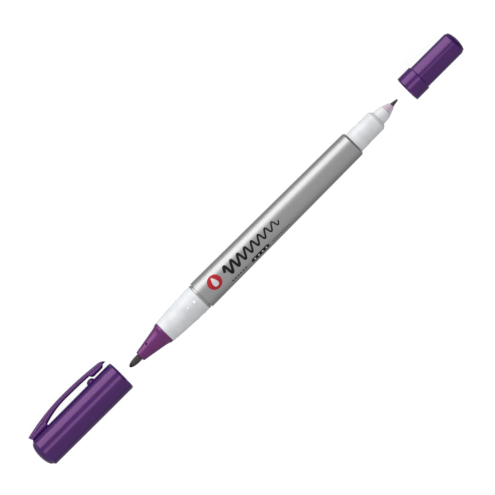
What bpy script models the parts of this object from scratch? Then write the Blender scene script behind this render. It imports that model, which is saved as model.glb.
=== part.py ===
"""Dual-tip fabric marking pen, lying down with both caps pulled off in line.

Metres, +Z up. The surface it lies on is z = 0, +X runs from the fine tip towards the bold tip
and the clip cap, and the origin is under the middle of the whole row. The clip points to -Y
and down, where its side touches the surface, as a clip stops a real pen from rolling.

Each end of the pen, and each cap, is modelled along +X in a frame of its own:
    pen_axis         the pen's axis, with its origin above the row's middle
    bold_end         at the barrel's bold face, +X out towards the bold tip
    fine_end         at the barrel's fine face, +X out towards the fine tip
    big_cap_frame    at the big cap's rim, +X towards its closed end, the clip along -Y
    clip_hinge       where the clip's arm bends, its axis along the big cap frame's Z
    small_cap_frame  at the small cap's rim, +X towards its closed end
"""

import math

import bmesh
import bpy
from mathutils import Matrix, Vector

# Clearances
GAP = 0.0003
MERGE = 1e-6

# Facets round the axis: outer pieces, inner cups, and slim rods
ROUND = 48
ROUND_INNER = 32
ROUND_SLIM = 24
SHARP_ANGLE = math.radians(35)

# Barrel
BARREL_LENGTH = 0.07413
BARREL_BOLD_RADIUS = 0.00542
BARREL_FINE_RADIUS = 0.00488
BARREL_BORE = 0.0043
BARREL_END_ROUND = 0.0005
BARREL_BEVEL = 0.00015
LIP_LENGTH = 0.001
LIP_RADIUS = 0.00515

# Reservoir and its film
RESERVOIR_RADIUS = 0.0027
SOCKET_DEPTH = 0.0033
FILM_BORE = 0.00285
FILM_RADIUS = 0.00305
FILM_SETBACK = 0.001
SLEEVE_BORE = 0.00335

# Bold end, measured out from the barrel's bold face
SPIGOT_RADIUS = 0.004
GRIP_SPIGOT = 0.007
GRIP_END = 0.0174
GRIP_REAR_RADIUS = 0.00512
GRIP_TAPER = 0.00078
GRIP_TAPER_POWER = 1.7
GRIP_FRONT_ROUND = 0.0002
CONE_BASE_RADIUS = 0.0042
CONE_BASE_LENGTH = 0.0005
CONE_FLARE = 0.0004
CONE_FLARE_LENGTH = 0.00078
CONE_LINE_RADIUS = 0.00382
CONE_FRONT_RADIUS = 0.00192
CONE_END = 0.02976
CONE_FRONT_ROUND = 0.0003
CONE_SPIGOT_RADIUS = 0.00305
CONE_SPIGOT = 0.007
CONE_BORE = 0.00145
VENT_RADIUS = 0.0003
VENT_AT = 0.02512
VENT_ANGLE = math.radians(160)
BOLD_NIB_RADIUS = 0.00125
BOLD_NIB_TIP = 0.03483
BOLD_NIB_NOSE = 0.00423
BOLD_NIB_FULLNESS = 2.2
BOLD_NIB_BLUNTNESS = 0.58

# Fine end, measured out from the barrel's fine face
NECK_SPIGOT = 0.009
NECK_STEP_AT = 0.0037
NECK_FRONT_RADIUS = 0.0039
NECK_SHOULDER = 0.01067
NOZZLE_START = 0.01194
NOZZLE_BASE_RADIUS = 0.00266
NOZZLE_END = 0.01555
NOZZLE_FRONT_RADIUS = 0.00218
NOZZLE_BULGE = 0.00012
NOZZLE_BORE = 0.00165
NECK_FLOOR = 0.0096
TIP_SLEEVE_BASE_RADIUS = 0.00206
TIP_SLEEVE_FRONT_RADIUS = 0.00112
TIP_SLEEVE_END = 0.01813
TIP_SLEEVE_TAIL_RADIUS = 0.00135
TIP_SLEEVE_TAIL = 0.005
TIP_SLEEVE_BORE = 0.00097
FINE_NIB_RADIUS = 0.00082
FINE_NIB_TIP = 0.02097
FINE_NIB_TIP_RADIUS = 0.00034
NIB_TAIL = 0.003

# Big cap, measured from its rim towards its closed end
BIG_CAP_TUBE = 0.03792
BIG_CAP_LENGTH = 0.03964
BIG_CAP_RADIUS = 0.0058
BIG_CAP_END_RADIUS = 0.0057
BIG_CAP_STRAIGHT = 0.012
BIG_CAP_CHAMFER = 0.0006
BIG_CAP_RIM_BEVEL = 0.00015
BIG_CAP_MOUTH_BORE = 0.00532
BIG_CAP_DEEP_BORE = 0.00505
BIG_CAP_WEB_AT = 0.035
BIG_CAP_WEB_BORE = 0.0042
PLUG_SEAT_RADIUS = 0.0049
PLUG_SEAT_DEPTH = 0.0006
PLUG_SPIGOT_RADIUS = 0.0039
PLUG_SPIGOT_AT = 0.0367
BIG_CUP_MOUTH_AT = 0.0186
BIG_CUP_END = 0.0364
BIG_CUP_MOUTH_RADIUS = 0.00475
BIG_CUP_END_RADIUS = 0.0036
BIG_CUP_WALL = 0.00055
BIG_CAP_TRAVEL = 0.0384

# Clip, along the cap from its closed end, with heights from the pen's axis
CLIP_DROP = math.radians(30)
CLIP_PEAK_AT = 0.0185
CLIP_PEAK = 0.00962
CLIP_RISE = 0.0017
CLIP_RISE_LENGTH = 0.016
CLIP_FALL = 0.00095
CLIP_FALL_LENGTH = 0.0165
CLIP_UNDER = 0.0079
CLIP_UNDER_RISE = 0.00165
CLIP_UNDER_LENGTH = 0.0105
CLIP_UNDER_FALL = 0.0002
CLIP_UNDER_FALL_LENGTH = 0.0093
CLIP_ROOT_END = 0.008
CLIP_TIP_AT = 0.03707
CLIP_BEAK_AT = 0.035
CLIP_BEAK_DROP = 0.00085
CLIP_BEAK_UNDER = 0.0072
CLIP_HALF_WIDTH = 0.00148
CLIP_ROOT_HALF_WIDTH = 0.0019
CLIP_TIP_HALF_WIDTH = 0.0009
CLIP_POWER = 2.5
PAD_START = 0.0299
PAD_END = 0.0357
PAD_RAMP = 0.0013
PAD_LEVEL = 0.00631
CATCH_AT = 0.0287
CATCH_LENGTH = 0.0031
CATCH_WIDTH = 0.0024
CATCH_HEIGHT = 0.0011
CATCH_ROOT = 0.00025
BRIDGE_LENGTH = 0.00105
BRIDGE_HALF_WIDTH = 0.0012

# Small cap, measured from its rim towards its closed end
SMALL_CAP_LENGTH = 0.02423
SMALL_CAP_RADIUS = 0.00489
COLLAR_LENGTH = 0.00566
FLAT_HEIGHT = 0.0044
FLAT_COUNT = 6
SMALL_CAP_DOME = 0.00193
SMALL_CAP_DOME_POWER = 2.5
SMALL_CAP_RIM_BEVEL = 0.0002
SMALL_CAP_MOUTH_BORE = 0.0042
SMALL_CAP_BODY_BORE = 0.00408
SMALL_CAP_STEP_AT = 0.0113
SMALL_CAP_DEEP_BORE = 0.0039
SMALL_CAP_FLOOR = 0.0223
SMALL_CUP_MOUTH_AT = 0.012
SMALL_CUP_END = 0.022
SMALL_CUP_RADIUS = 0.0036
SMALL_CUP_BORE = 0.00297
SMALL_CAP_TRAVEL = 0.0255

# The row at rest
BIG_CAP_RIM_X = BIG_CAP_TRAVEL + GAP
SMALL_CAP_RIM_X = SMALL_CAP_TRAVEL + GAP
ROW_LENGTH = BARREL_LENGTH + BIG_CAP_RIM_X + BIG_CAP_LENGTH + SMALL_CAP_RIM_X + SMALL_CAP_LENGTH
BOLD_FACE_X = ROW_LENGTH / 2 - BIG_CAP_LENGTH - BIG_CAP_RIM_X
FINE_FACE_X = BOLD_FACE_X - BARREL_LENGTH
AXIS_HEIGHT = BIG_CAP_RADIUS * math.cos(math.pi / ROUND)
AXIS_Y = 0.00143

# Colours, as linear RGB
PURPLE = (0.090, 0.026, 0.175)
CONE_PURPLE = (0.130, 0.032, 0.150)
SILVER = (0.55, 0.55, 0.56)
WHITE = (0.72, 0.73, 0.75)
LILAC = (0.48, 0.38, 0.50)
INK_BLACK = (0.018, 0.014, 0.020)
FIBRE = (0.16, 0.07, 0.22)
FILM = (0.75, 0.75, 0.78)


def clear_scene():
    for obj in list(bpy.data.objects):
        bpy.data.objects.remove(obj, do_unlink=True)


def finish(name, colour, roughness, metallic=0.0):
    material = bpy.data.materials.new(name)
    material.use_nodes = True
    shader = material.node_tree.nodes["Principled BSDF"]
    shader.inputs["Base Color"].default_value = (*colour, 1.0)
    shader.inputs["Roughness"].default_value = roughness
    shader.inputs["Metallic"].default_value = metallic
    return material


def frame(name, location, parent=None, rotation=(0.0, 0.0, 0.0)):
    """An empty that holds one end, cap or joint."""
    empty = bpy.data.objects.new(name, None)
    bpy.context.collection.objects.link(empty)
    empty.location = location
    empty.rotation_euler = rotation
    empty.parent = parent
    return empty


def place(name, bm, parent, material=None):
    """Make an object from bm with outward faces, and link it under its frame."""
    bmesh.ops.recalc_face_normals(bm, faces=bm.faces)
    mesh = bpy.data.meshes.new(name)
    bm.to_mesh(mesh)
    bm.free()
    mesh.shade_smooth()
    mesh.set_sharp_from_angle(angle=SHARP_ANGLE)
    obj = bpy.data.objects.new(name, mesh)
    bpy.context.collection.objects.link(obj)
    obj.parent = parent
    if material:
        mesh.materials.append(material)
    return obj


def helper(obj):
    """Keep an operand of a Boolean out of the model."""
    obj.hide_render = True
    obj.display_type = "WIRE"
    return obj


def boolean(obj, operand, operation):
    modifier = obj.modifiers.new(operand.name, "BOOLEAN")
    modifier.operation = operation
    modifier.object = operand
    modifier.solver = "EXACT"


def turned(name, profile, segments, parent, material=None):
    """Turn (x, radius) points about X. A profile that starts on the axis is a solid, and the
    others are closed rings. Facets are centred on +Y, -Y, +Z and -Z."""
    bm = bmesh.new()
    half_step = Matrix.Rotation(math.pi / segments, 4, "X")
    points = [bm.verts.new(half_step @ Vector((x, 0, radius))) for x, radius in profile]
    path = points if profile[0][1] == 0 else points + points[:1]
    edges = [bm.edges.new(pair) for pair in zip(path, path[1:])]
    bmesh.ops.spin(
        bm,
        geom=points + edges,
        cent=(0, 0, 0),
        axis=(1, 0, 0),
        angle=2 * math.pi,
        steps=segments,
        use_merge=True,
    )
    bmesh.ops.remove_doubles(bm, verts=bm.verts, dist=MERGE)
    return place(name, bm, parent, material)


def lofted(name, sections, points_round, parent, material=None):
    """Join superellipse sections (x, top, under, half width) of a bar that runs along X and
    stands out along -Y. Its under face is flat between the two lowest points."""
    bm = bmesh.new()
    rings = []
    for x, top, under, half_width in sections:
        middle, half_height = (top + under) / 2, (top - under) / 2
        ring = []
        for step in range(points_round):
            angle = 2 * math.pi * (step + 0.5) / points_round
            up = math.copysign(abs(math.cos(angle)) ** (2 / CLIP_POWER), math.cos(angle))
            across = math.copysign(abs(math.sin(angle)) ** (2 / CLIP_POWER), math.sin(angle))
            ring.append(bm.verts.new((x, -middle - up * half_height, across * half_width)))
        rings.append(ring)
    for ring, following in zip(rings, rings[1:]):
        for step in range(points_round):
            after = (step + 1) % points_round
            bm.faces.new((ring[step], ring[after], following[after], following[step]))
    bm.faces.new(rings[0])
    bm.faces.new(rings[-1])
    return place(name, bm, parent, material)


def block(name, low, high, parent):
    """A box between two corners."""
    bm = bmesh.new()
    size = Vector(high) - Vector(low)
    middle = (Vector(high) + Vector(low)) / 2
    bmesh.ops.create_cube(bm, size=1, matrix=Matrix.Translation(middle) @ Matrix.Diagonal(size).to_4x4())
    return place(name, bm, parent)


def spaced(start, end, steps):
    """Both ends and the even steps between them."""
    return [start + (end - start) * step / steps for step in range(steps + 1)]


def quarter(centre_x, centre_radius, length, height, steps, power=2.0):
    """Points of a superellipse quarter from its widest radius to its furthest x."""
    return [
        (
            centre_x + math.sin(angle) ** (2 / power) * length,
            centre_radius + max(math.cos(angle), 0) ** (2 / power) * height,
        )
        for angle in spaced(0, math.pi / 2, steps)
    ]


def barrel(parent, material):
    end = BARREL_LENGTH
    rounding = quarter(0, BARREL_FINE_RADIUS - BARREL_END_ROUND, BARREL_END_ROUND, BARREL_END_ROUND, 3)
    fine_end = [(-end + BARREL_END_ROUND - x, radius) for x, radius in rounding]
    profile = [
        (LIP_LENGTH, BARREL_BORE),
        (LIP_LENGTH, LIP_RADIUS - BARREL_BEVEL),
        (LIP_LENGTH - BARREL_BEVEL, LIP_RADIUS),
        (0, LIP_RADIUS),
        (0, BARREL_BOLD_RADIUS - BARREL_BEVEL),
        (-BARREL_BEVEL, BARREL_BOLD_RADIUS),
        *fine_end,
        (-end, BARREL_BORE),
    ]
    return turned("barrel", profile, ROUND, parent, material)


def bold_grip(parent, material):
    rear = LIP_LENGTH + GAP
    taper = GRIP_END - GRIP_FRONT_ROUND - rear
    outside = [
        (x, GRIP_REAR_RADIUS - GRIP_TAPER * ((x - rear) / taper) ** GRIP_TAPER_POWER)
        for x in spaced(rear, rear + taper, 7)
    ]
    front = outside[-1][1] - GRIP_FRONT_ROUND
    profile = [(-GRIP_SPIGOT, SLEEVE_BORE), (-GRIP_SPIGOT, SPIGOT_RADIUS), (rear, SPIGOT_RADIUS)]
    profile += outside + [(GRIP_END, front), (GRIP_END, SLEEVE_BORE)]
    return turned("bold_grip", profile, ROUND, parent, material)


def cone_radius(x):
    """A straight cone that flares quickly into its base."""
    base = GRIP_END + GAP + CONE_BASE_LENGTH
    share = (x - base) / (CONE_END - CONE_FRONT_ROUND - base)
    flare = CONE_FLARE * math.exp(-(x - base) / CONE_FLARE_LENGTH)
    return CONE_LINE_RADIUS + (CONE_FRONT_RADIUS - CONE_LINE_RADIUS) * share + flare


def nose_cone(parent, material):
    base = GRIP_END + GAP
    neck = base + CONE_BASE_LENGTH
    spigot_end = base - CONE_SPIGOT
    flare_end = neck + 3 * CONE_FLARE_LENGTH
    stations = spaced(neck, flare_end, 5) + [CONE_END - CONE_FRONT_ROUND]
    front = quarter(
        CONE_END - CONE_FRONT_ROUND,
        CONE_FRONT_RADIUS - CONE_FRONT_ROUND,
        CONE_FRONT_ROUND,
        CONE_FRONT_ROUND,
        2,
    )
    profile = [(spigot_end, CONE_BORE), (spigot_end, CONE_SPIGOT_RADIUS), (base, CONE_SPIGOT_RADIUS)]
    profile += [(base, CONE_BASE_RADIUS)]
    profile += [(x, cone_radius(x)) for x in stations]
    profile += front[1:] + [(CONE_END, CONE_BORE)]
    cone = turned("nose_cone", profile, ROUND, parent, material)

    bm = bmesh.new()
    outside, inside = CONE_BASE_RADIUS, CONE_BORE / 2
    toward = Matrix.Rotation(VENT_ANGLE - math.pi / 2, 4, "X")
    middle = Matrix.Translation((VENT_AT, 0, 0)) @ toward
    bmesh.ops.create_cone(
        bm,
        cap_ends=True,
        segments=ROUND_SLIM // 2,
        radius1=VENT_RADIUS,
        radius2=VENT_RADIUS,
        depth=outside - inside,
        matrix=middle @ Matrix.Translation((0, 0, (outside + inside) / 2)),
    )
    boolean(cone, helper(place("vent_cutter", bm, parent)), "DIFFERENCE")
    return cone


def bold_nib(parent, material):
    tail = GRIP_END + GAP - CONE_SPIGOT - GAP - NIB_TAIL
    nose = BOLD_NIB_TIP - BOLD_NIB_NOSE
    shares = [math.sin(math.pi / 2 * share) for share in spaced(0, 1, 7)]
    profile = [(tail, 0), (tail, BOLD_NIB_RADIUS)]
    profile += [
        (
            nose + BOLD_NIB_NOSE * share,
            BOLD_NIB_RADIUS * (1 - share**BOLD_NIB_FULLNESS) ** BOLD_NIB_BLUNTNESS,
        )
        for share in shares[:-1]
    ]
    profile += [(BOLD_NIB_TIP, 0)]
    return turned("bold_nib", profile, ROUND_SLIM, parent, material)


def reservoir_ends():
    """The reservoir's two ends along the pen's axis, which meet the nose cone and the neck."""
    bold = BOLD_FACE_X + GRIP_END - CONE_SPIGOT
    fine = FINE_FACE_X - NECK_FLOOR + GAP
    return fine, bold


def ink_reservoir(parent, material):
    fine, bold = reservoir_ends()
    bold_socket = BOLD_NIB_RADIUS + GAP / 2
    fine_socket = FINE_NIB_RADIUS + GAP / 2
    profile = [
        (bold - SOCKET_DEPTH, 0),
        (bold - SOCKET_DEPTH, bold_socket),
        (bold, bold_socket),
        (bold, RESERVOIR_RADIUS),
        (fine, RESERVOIR_RADIUS),
        (fine, fine_socket),
        (fine + SOCKET_DEPTH, fine_socket),
        (fine + SOCKET_DEPTH, 0),
    ]
    return turned("ink_reservoir", profile, ROUND_SLIM, parent, material)


def reservoir_film(parent, material):
    fine, bold = reservoir_ends()
    low, high = fine + FILM_SETBACK, bold - FILM_SETBACK
    profile = [(low, FILM_BORE), (low, FILM_RADIUS), (high, FILM_RADIUS), (high, FILM_BORE)]
    return turned("reservoir_film", profile, ROUND_SLIM, parent, material)


def fine_neck(parent, material):
    nozzle = []
    for x in spaced(NOZZLE_START, NOZZLE_END - GAP, 4):
        share = (x - NOZZLE_START) / (NOZZLE_END - GAP - NOZZLE_START)
        radius = NOZZLE_BASE_RADIUS + (NOZZLE_FRONT_RADIUS - NOZZLE_BASE_RADIUS) * share
        nozzle.append((x, radius + NOZZLE_BULGE * math.sin(math.pi * share)))
    profile = [
        (-NECK_SPIGOT, SLEEVE_BORE),
        (-NECK_SPIGOT, SPIGOT_RADIUS),
        (NECK_STEP_AT, SPIGOT_RADIUS),
        (NECK_STEP_AT, NECK_FRONT_RADIUS),
        (NECK_SHOULDER, NECK_FRONT_RADIUS),
        *nozzle,
        (NOZZLE_END, NOZZLE_FRONT_RADIUS - GAP),
        (NOZZLE_END, NOZZLE_BORE),
        (NECK_FLOOR, NOZZLE_BORE),
        (NECK_FLOOR, SLEEVE_BORE),
    ]
    return turned("fine_neck", profile, ROUND, parent, material)


def fine_tip_sleeve(parent, material):
    base = NOZZLE_END + GAP
    tail = base - TIP_SLEEVE_TAIL
    profile = [
        (tail, TIP_SLEEVE_BORE),
        (tail, TIP_SLEEVE_TAIL_RADIUS),
        (base, TIP_SLEEVE_TAIL_RADIUS),
        (base, TIP_SLEEVE_BASE_RADIUS),
        (TIP_SLEEVE_END, TIP_SLEEVE_FRONT_RADIUS),
        (TIP_SLEEVE_END, TIP_SLEEVE_BORE),
    ]
    return turned("fine_tip_sleeve", profile, ROUND_INNER, parent, material)


def fine_nib(parent, material):
    tail = NECK_FLOOR - GAP - NIB_TAIL
    point = FINE_NIB_TIP - FINE_NIB_TIP_RADIUS
    rounded = quarter(point, 0, FINE_NIB_TIP_RADIUS, FINE_NIB_TIP_RADIUS, 3)
    profile = [(tail, 0), (tail, FINE_NIB_RADIUS), (TIP_SLEEVE_END, FINE_NIB_RADIUS), *rounded]
    return turned("fine_nib", profile, ROUND_SLIM, parent, material)


def clip_top(depth):
    """Height of the clip's outer line at a distance from the cap's closed end."""
    if depth < CLIP_PEAK_AT:
        return CLIP_PEAK - CLIP_RISE * ((CLIP_PEAK_AT - depth) / CLIP_RISE_LENGTH) ** 2
    top = CLIP_PEAK - CLIP_FALL * ((depth - CLIP_PEAK_AT) / CLIP_FALL_LENGTH) ** 2
    beak = max(depth - CLIP_BEAK_AT, 0) / (CLIP_TIP_AT - CLIP_BEAK_AT)
    return top - CLIP_BEAK_DROP * beak**2


def clip_under(depth):
    """Height of the arm's inner line, with the rounded pad that presses on the cap."""
    if depth < CLIP_PEAK_AT:
        return CLIP_UNDER - CLIP_UNDER_RISE * ((CLIP_PEAK_AT - depth) / CLIP_UNDER_LENGTH) ** 2
    line = CLIP_UNDER - CLIP_UNDER_FALL * ((depth - CLIP_PEAK_AT) / CLIP_UNDER_FALL_LENGTH) ** 2
    beak = min(max(depth - CLIP_BEAK_AT, 0) / (CLIP_TIP_AT - CLIP_BEAK_AT), 1)
    line += (CLIP_BEAK_UNDER - line) * beak
    ramp_in = min(max(depth - PAD_START, 0) / PAD_RAMP, 1)
    ramp_out = min(max(PAD_END - depth, 0) / PAD_RAMP, 1)
    swell = math.sqrt(1 - (1 - ramp_in) ** 2) * math.sqrt(1 - (1 - ramp_out) ** 2)
    return line + (PAD_LEVEL - line) * swell


def clip_half_width(depth):
    """The root tapers into the arm, and the beak is rounded off."""
    root = CLIP_HALF_WIDTH + (CLIP_ROOT_HALF_WIDTH - CLIP_HALF_WIDTH) * max(1 - depth / CLIP_ROOT_END, 0)
    beak = max(depth - PAD_END, 0) / (CLIP_TIP_AT - PAD_END)
    return root - (CLIP_HALF_WIDTH - CLIP_TIP_HALF_WIDTH) * beak**2


def hinge_point():
    """Where the arm bends, in the big cap's frame: the middle of the arm's root face."""
    depth = CLIP_ROOT_END + GAP
    return Vector((BIG_CAP_TUBE - depth, -(clip_top(depth) + clip_under(depth)) / 2, 0))


def clip_arm(parent, material):
    hinge = hinge_point()
    depths = spaced(CLIP_ROOT_END + GAP, PAD_START, 9)
    depths += spaced(PAD_START, PAD_START + PAD_RAMP, 3)[1:]
    depths += spaced(PAD_END - PAD_RAMP, PAD_END, 3)
    depths += spaced(PAD_END, CLIP_TIP_AT, 2)[1:]
    sections = [
        (
            BIG_CAP_TUBE - depth - hinge.x,
            clip_top(depth) + hinge.y,
            clip_under(depth) + hinge.y,
            clip_half_width(depth),
        )
        for depth in depths
    ]
    return lofted("clip_arm", sections, 12, parent, material)


def clip_root(parent):
    """The block that the arm springs from, hollowed underneath to sit round the cap."""
    depths = spaced(0, CLIP_ROOT_END, 5)
    under = BIG_CAP_WEB_BORE + GAP
    rear = (BIG_CAP_TUBE + GAP, clip_top(0) - 2 * GAP, under, CLIP_ROOT_HALF_WIDTH - GAP)
    sections = [rear]
    sections += [
        (BIG_CAP_TUBE - depth, clip_top(depth), under, clip_half_width(depth)) for depth in depths
    ]
    root = helper(lofted("clip_root", sections, 12, parent))
    clearance = [
        (0, 0),
        (0, BIG_CAP_RADIUS + GAP),
        (BIG_CAP_TUBE - BRIDGE_LENGTH, BIG_CAP_END_RADIUS + GAP),
        (BIG_CAP_TUBE - BRIDGE_LENGTH, 0),
    ]
    boolean(root, helper(turned("root_clearance", clearance, ROUND, parent)), "DIFFERENCE")
    return root


def big_cap_plug(parent, material):
    flange_radius = PLUG_SEAT_RADIUS - GAP
    seat = BIG_CAP_TUBE - PLUG_SEAT_DEPTH + GAP
    dome = quarter(BIG_CAP_TUBE, 0, BIG_CAP_LENGTH - BIG_CAP_TUBE, flange_radius, 7)
    profile = [(PLUG_SPIGOT_AT, 0), (PLUG_SPIGOT_AT, PLUG_SPIGOT_RADIUS), (seat, PLUG_SPIGOT_RADIUS)]
    profile += [(seat, flange_radius), *dome]
    plug = turned("big_cap_plug", profile, ROUND, parent, material)
    bridge_low = (BIG_CAP_TUBE - BRIDGE_LENGTH + GAP, -BIG_CAP_END_RADIUS - GAP, -BRIDGE_HALF_WIDTH)
    bridge_high = (BIG_CAP_TUBE + GAP, -PLUG_SPIGOT_RADIUS + GAP, BRIDGE_HALF_WIDTH)
    boolean(plug, helper(block("plug_bridge", bridge_low, bridge_high, parent)), "UNION")
    boolean(plug, clip_root(parent), "UNION")
    return plug


def clip_catch(parent):
    """The outer half of an ellipsoid, rooted in the cap's wall under the clip."""
    bm = bmesh.new()
    centre = Matrix.Translation((BIG_CAP_TUBE - CATCH_AT, -BIG_CAP_RADIUS, 0))
    size = Matrix.Diagonal((CATCH_LENGTH / 2, CATCH_HEIGHT, CATCH_WIDTH / 2)).to_4x4()
    bmesh.ops.create_uvsphere(bm, u_segments=16, v_segments=9, radius=1, matrix=centre @ size)
    bmesh.ops.bisect_plane(
        bm,
        geom=[*bm.verts, *bm.edges, *bm.faces],
        plane_co=(0, CATCH_ROOT - BIG_CAP_RADIUS, 0),
        plane_no=(0, 1, 0),
        clear_outer=True,
    )
    bmesh.ops.holes_fill(bm, edges=bm.edges)
    return place("clip_catch", bm, parent)


def big_cap_shell(parent, material):
    tube = BIG_CAP_TUBE
    profile = [
        (0, BIG_CAP_MOUTH_BORE),
        (0, BIG_CAP_RADIUS - BIG_CAP_RIM_BEVEL),
        (BIG_CAP_RIM_BEVEL, BIG_CAP_RADIUS),
        (BIG_CAP_STRAIGHT, BIG_CAP_RADIUS),
        (tube - BIG_CAP_CHAMFER, BIG_CAP_END_RADIUS),
        (tube, BIG_CAP_END_RADIUS - BIG_CAP_CHAMFER),
        (tube, PLUG_SEAT_RADIUS),
        (tube - PLUG_SEAT_DEPTH, PLUG_SEAT_RADIUS),
        (tube - PLUG_SEAT_DEPTH, BIG_CAP_WEB_BORE),
        (BIG_CAP_WEB_AT, BIG_CAP_WEB_BORE),
        (BIG_CAP_WEB_AT, BIG_CAP_DEEP_BORE),
    ]
    shell = turned("big_cap_shell", profile, ROUND, parent, material)
    width = CLIP_ROOT_HALF_WIDTH + GAP
    notch_low = (tube - BRIDGE_LENGTH, -BIG_CAP_RADIUS - GAP, -width)
    notch_high = (tube + GAP, -PLUG_SPIGOT_RADIUS + GAP, width)
    boolean(shell, helper(block("bridge_notch", notch_low, notch_high, parent)), "DIFFERENCE")

    boolean(shell, helper(clip_catch(parent)), "UNION")
    return shell


def seal_cup(name, mouth, end, mouth_radius, end_radius, wall, parent, material):
    """A cup along +X, open at its mouth."""
    profile = [
        (end - wall, 0),
        (end - wall, end_radius - wall),
        (mouth, mouth_radius - wall),
        (mouth, mouth_radius),
        (end, end_radius),
        (end, 0),
    ]
    return turned(name, profile, ROUND_INNER, parent, material)


def small_cap_shell(parent, material):
    length = SMALL_CAP_LENGTH
    dome = quarter(
        length - SMALL_CAP_DOME, 0, SMALL_CAP_DOME, SMALL_CAP_RADIUS, 8, SMALL_CAP_DOME_POWER
    )
    profile = [
        (SMALL_CAP_FLOOR, 0),
        (SMALL_CAP_FLOOR, SMALL_CAP_DEEP_BORE),
        (SMALL_CAP_STEP_AT, SMALL_CAP_DEEP_BORE),
        (SMALL_CAP_STEP_AT, SMALL_CAP_BODY_BORE),
        (COLLAR_LENGTH, SMALL_CAP_BODY_BORE),
        (COLLAR_LENGTH, SMALL_CAP_MOUTH_BORE),
        (0, SMALL_CAP_MOUTH_BORE),
        (0, SMALL_CAP_RADIUS - SMALL_CAP_RIM_BEVEL),
        (SMALL_CAP_RIM_BEVEL, SMALL_CAP_RADIUS),
        *dome,
    ]
    shell = turned("small_cap_shell", profile, ROUND, parent, material)
    for side in range(FLAT_COUNT):
        low = (COLLAR_LENGTH, FLAT_HEIGHT, -SMALL_CAP_RADIUS)
        high = (length + GAP, SMALL_CAP_RADIUS + GAP, SMALL_CAP_RADIUS)
        cutter = helper(block(f"flat_cutter_{side}", low, high, parent))
        cutter.rotation_euler.x = math.pi * (2 * side + 1) / FLAT_COUNT
        boolean(shell, cutter, "DIFFERENCE")
    return shell


def build_pen(axis):
    bold_end = frame("bold_end", (BOLD_FACE_X, 0, 0), axis)
    fine_end = frame("fine_end", (FINE_FACE_X, 0, 0), axis, (0, 0, math.pi))
    barrel(bold_end, finish("barrel_silver", SILVER, 0.30, 0.85))
    bold_grip(bold_end, finish("grip_white", WHITE, 0.35))
    nose_cone(bold_end, finish("cone_purple", CONE_PURPLE, 0.35))
    bold_nib(bold_end, finish("bold_nib_fibre", INK_BLACK, 0.75))
    ink_reservoir(axis, finish("reservoir_fibre", FIBRE, 0.9))
    reservoir_film(axis, finish("film_clear", FILM, 0.2))
    fine_neck(fine_end, finish("neck_white", WHITE, 0.35))
    fine_tip_sleeve(fine_end, finish("sleeve_lilac", LILAC, 0.3))
    fine_nib(fine_end, finish("fine_nib_black", INK_BLACK, 0.5))


def build_big_cap(axis):
    rim = (BOLD_FACE_X + BIG_CAP_RIM_X, 0, 0)
    cap = frame("big_cap_frame", rim, axis, (CLIP_DROP, 0, 0))
    hinge = frame("clip_hinge", hinge_point(), cap)
    purple = finish("big_cap_purple", PURPLE, 0.4)
    big_cap_shell(cap, purple)
    big_cap_plug(cap, finish("plug_purple", PURPLE, 0.4))
    clip_arm(hinge, finish("clip_purple", PURPLE, 0.4))
    seal_cup(
        "big_cap_inner_cap",
        BIG_CUP_MOUTH_AT,
        BIG_CUP_END,
        BIG_CUP_MOUTH_RADIUS,
        BIG_CUP_END_RADIUS,
        BIG_CUP_WALL,
        cap,
        finish("big_cup_white", WHITE, 0.5),
    )


def build_small_cap(axis):
    rim = (FINE_FACE_X - SMALL_CAP_RIM_X, 0, 0)
    cap = frame("small_cap_frame", rim, axis, (0, 0, math.pi))
    small_cap_shell(cap, finish("small_cap_purple", PURPLE, 0.4))
    seal_cup(
        "small_cap_inner_cap",
        SMALL_CUP_MOUTH_AT,
        SMALL_CUP_END,
        SMALL_CUP_RADIUS,
        SMALL_CUP_RADIUS,
        SMALL_CUP_RADIUS - SMALL_CUP_BORE,
        cap,
        finish("small_cup_white", WHITE, 0.5),
    )


def main():
    clear_scene()
    axis = frame("pen_axis", (0, AXIS_Y, AXIS_HEIGHT))
    build_pen(axis)
    build_big_cap(axis)
    build_small_cap(axis)


main()
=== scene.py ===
"""Looks of the fabric marking pen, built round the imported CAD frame.

Each end of the pen and each cap has its own frame of reference, as in the CAD model:
    BOLD   at the barrel's bold face, +X out towards the bold tip
    FINE   at the barrel's fine face, +X out towards the fine tip
    BIG    at the big cap's rim, +X towards its closed end, the clip along -Y
    SMALL  at the small cap's rim, +X towards its closed end
    PRINT  as BOLD, turned so that +Z faces the camera
"""

import math

import bmesh
import bpy
from mathutils import Matrix, Vector


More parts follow.
